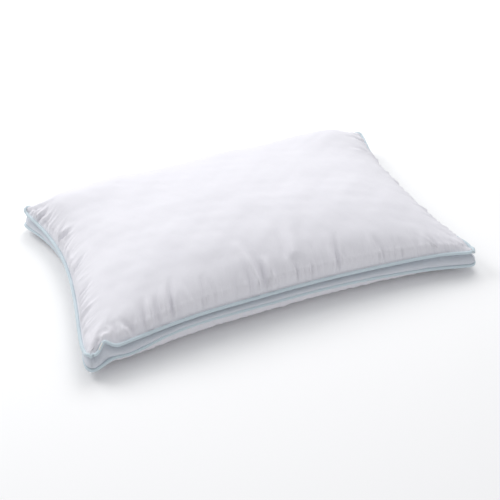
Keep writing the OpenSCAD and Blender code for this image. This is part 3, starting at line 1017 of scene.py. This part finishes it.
def fill_piece(top, bottom, material):
    """The fibre, a closed body that stays clear of the shell and its folded band."""
    columns, rows = top.shape[:2]
    u, v = np.meshgrid(crowded(columns - 1), crowded(rows - 1), indexing="ij")
    reach = np.maximum(abs(u), abs(v)) ** 8
    draw_in = np.stack([1 - FILL_EDGE / HALF_L * reach, 1 - FILL_EDGE / HALF_W * reach,
                        1 + 0 * u], -1)
    skins = []
    for grid, side in ((top, 1), (bottom, -1)):
        skin = (grid - side * grid_normals(grid) * FILL_CLEAR) * draw_in
        skin[..., 2] -= side * FILL_TAPER * reach
        skins.append(skin)
    n = columns * rows
    faces = two_skins(columns, rows)
    edge = rim(np.arange(n).reshape(columns, rows)).tolist()
    for a, b in zip(edge, edge[1:] + edge[:1]):
        faces.append((a, a + n, b + n, b))
    ob = make_mesh("fibre_body", np.concatenate([s.reshape(-1, 3) for s in skins]), faces)
    finish_piece(ob, material, "fibre_fill", "fill")


# ---- Floor, lights and camera ----

# The lights: name, place, size and power in watts. All of them look at AIM.
LIGHTS = [
    ("key", (-1.2, 1.3, 1.6), 1.1, 19),
    ("top_fill", (0.6, 0.9, 1.9), 1.6, 21),
]
AIM = Vector((0, 0, 0.05))
SKY = (0.97, 0.975, 1, 1)
SKY_STRENGTH = 0.60
# The camera: degrees round and above, what it looks at, distance, lens and sensor in millimetres
AZIMUTH = -23.14
ELEVATION = 37.87
TARGET = Vector((0.0032, -0.0305, CORNER_LOW))
DISTANCE = 1.854
LENS = 70.87
SENSOR = 36


def make_floor():
    floor = flat_square("floor", 6, 0)
    mat, _, shader = new_material("studio_floor")
    shader.inputs["Base Color"].default_value = (0.95, 0.95, 0.95, 1)
    shader.inputs["Roughness"].default_value = 1
    shader.inputs["Specular IOR Level"].default_value = 0
    floor.data.materials.append(mat)


def look_along(data, place, way):
    """A light or camera at a place, turned to look along a way."""
    ob = bpy.data.objects.new(data.name, data)
    bpy.context.scene.collection.objects.link(ob)
    ob.location = place
    ob.rotation_euler = way.to_track_quat("-Z", "Y").to_euler()
    return ob


def make_lights():
    world = bpy.data.worlds.new("studio")
    bpy.context.scene.world = world
    world.use_nodes = True
    sky = world.node_tree.nodes["Background"]
    sky.inputs["Color"].default_value = SKY
    sky.inputs["Strength"].default_value = SKY_STRENGTH
    for name, place, size, power in LIGHTS:
        light = bpy.data.lights.new(name, "AREA")
        light.size = size
        light.energy = power
        look_along(light, place, AIM - Vector(place))


def make_camera():
    """The photograph's angle, from above the front left."""
    azimuth, elevation = math.radians(AZIMUTH), math.radians(ELEVATION)
    back = Vector((math.sin(azimuth) * math.cos(elevation),
                   -math.cos(azimuth) * math.cos(elevation), math.sin(elevation)))
    camera = bpy.data.cameras.new("camera")
    camera.sensor_width = SENSOR
    camera.lens = LENS
    bpy.context.scene.camera = look_along(camera, TARGET + back * DISTANCE, -back)
    bpy.context.scene.view_settings.view_transform = "Standard"


# ---- Making the pillow ----

def make_pillow():
    """Materials, the two panels, then every piece that is sewn to them."""
    cotton = fabric("shell_cotton", (0.765, 0.758, 0.80), (0.79, 0.783, 0.825), 0.00045,
                    gathers=0.7)
    # The side band is the same white cotton as the panels; its colour is set darker and bluer than
    # theirs, as painted shade.
    band = fabric("gusset_cotton", (0.62, 0.65, 0.70), (0.67, 0.70, 0.75), 0.00045,
                  wrinkle=0.9)
    sateen = fabric("piping_tape", (0.55, 0.645, 0.69), (0.60, 0.69, 0.735), 0.0004, diagonal=True,
                    sheen=0.35, rough=(0.55, 0.75), wrinkle=0.2)
    satin = fabric("label_tape", (0.86, 0.86, 0.87), (0.90, 0.90, 0.90), 0.0003,
                   sheen=0.3, rough=(0.4, 0.55))
    yarn = twisted("piping_cord", (0.70, 0.69, 0.66), (0.86, 0.85, 0.82), 0.0025)
    thread = twisted("sewing_thread", (0.72, 0.73, 0.76), (0.84, 0.85, 0.88), 0.0006)

    top, bottom, top_cut, bottom_cut = panel_forms()
    top, bottom = stuffed(top, bottom, top_cut, bottom_cut)
    fill_piece(top, bottom, fibre_material())

    cut = refined(top_cut)
    top = creased_top(refined(top), cut)
    bottom = creased_bottom(refined(bottom), cut)
    top_loop, low_loop = rim(top), rim(bottom)
    finish_piece(panel_piece("top_cloth", top, cut, True), cotton, "shell_cotton", "top_panel")
    finish_piece(panel_piece("bottom_cloth", bottom, cut, False), cotton, "shell_cotton",
                 "bottom_panel")

    band_grid = gusset_grid(top_loop, low_loop)
    corners = corner_places(LONG_STEPS * REFINE, SHORT_STEPS * REFINE)
    corners.append(corners[0] + len(top_loop))
    for side, start, end in zip(("left", "front", "right", "back"), corners[:-1], corners[1:]):
        strip = gusset_piece("band_" + side, band_grid, start, end)
        finish_piece(strip, band, "gusset_cotton", "gusset_" + side)

    piping_pieces("upper", top_loop, sateen, yarn)
    piping_pieces("lower", low_loop, sateen, yarn)
    for name, loop, rise in (("upper", top_loop, THREAD_RISE), ("lower", low_loop, -THREAD_RISE)):
        line = lockstitch(loop, rise)
        ob = tube(name + "_lockstitch", line, THREAD_R, THREAD_SIDES, closed=True)
        finish_piece(ob, thread, "sewing_thread", name + "_seam_thread")
    lines = corner_thread_lines(band_grid)
    ob = joined_tubes("corner_stitching", lines, THREAD_R, THREAD_SIDES)
    finish_piece(ob, thread, "sewing_thread", "gusset_corner_threads")
    ob = joined_tubes("hand_stitches", closing_stitch_lines(bottom), HAND_R, HAND_SIDES)
    finish_piece(ob, thread, "sewing_thread", "closing_stitches")
    label_piece(low_loop, satin)


make_camera()
make_floor()
make_lights()
make_pillow()
